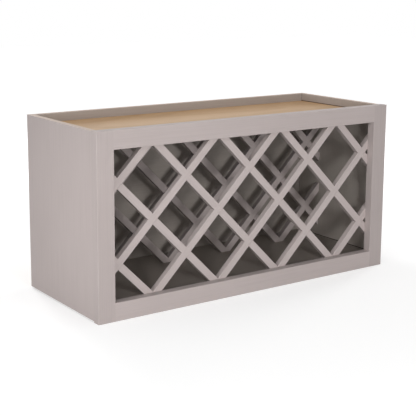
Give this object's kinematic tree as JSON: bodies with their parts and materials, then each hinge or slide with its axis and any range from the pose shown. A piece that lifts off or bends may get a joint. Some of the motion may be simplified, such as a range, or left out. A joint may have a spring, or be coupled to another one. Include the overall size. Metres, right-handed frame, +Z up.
{
  "type": "wall wine rack",
  "caption": "Painted face-frame wall cabinet with an open front, diagonal lattices at front and rear that cradle wine bottles in diamond cells, and a bare plywood top.",
  "frame": {"origin": "middle of the base, at the height of the face frame's lower edge", "axes": "+X along the width to the right as seen from the front, +Y towards the wall, +Z up"},
  "size_m": [0.762, 0.2984, 0.381],
  "materials": {
    "painted_frame": "satin warm grey paint",
    "painted_case": "satin warm grey paint",
    "painted_slat": "satin warm grey paint",
    "bare_ply": "bare sanded plywood",
    "dowel_wood": "bare beech",
    "fixing_steel": "zinc plated"
  },
  "bodies": {
    "root": {"left_stile": "painted_frame", "right_stile": "painted_frame", "top_rail": "painted_frame", "bottom_rail": "painted_frame", "left_side": "painted_case", "right_side": "painted_case", "back_panel": "painted_case", "bottom_panel": "painted_case", "top_panel": "bare_ply", "front_rising_slat_1": "painted_slat", "front_rising_slat_2": "painted_slat", "front_rising_slat_3": "painted_slat", "front_rising_slat_4": "painted_slat", "front_rising_slat_5": "painted_slat", "front_rising_slat_6": "painted_slat", "front_falling_slat_1": "painted_slat", "front_falling_slat_2": "painted_slat", "front_falling_slat_3": "painted_slat", "front_falling_slat_4": "painted_slat", "front_falling_slat_5": "painted_slat", "front_falling_slat_6": "painted_slat", "rear_rising_slat_1": "painted_slat", "rear_rising_slat_2": "painted_slat", "rear_rising_slat_3": "painted_slat", "rear_rising_slat_4": "painted_slat", "rear_rising_slat_5": "painted_slat", "rear_rising_slat_6": "painted_slat", "rear_falling_slat_1": "painted_slat", "rear_falling_slat_2": "painted_slat", "rear_falling_slat_3": "painted_slat", "rear_falling_slat_4": "painted_slat", "rear_falling_slat_5": "painted_slat", "rear_falling_slat_6": "painted_slat", "frame_pocket_screws": "fixing_steel", "back_screws": "fixing_steel", "front_lattice_brads": "fixing_steel", "rear_lattice_brads": "fixing_steel", "frame_dowels": "dowel_wood"}
  },
  "joints": []
}
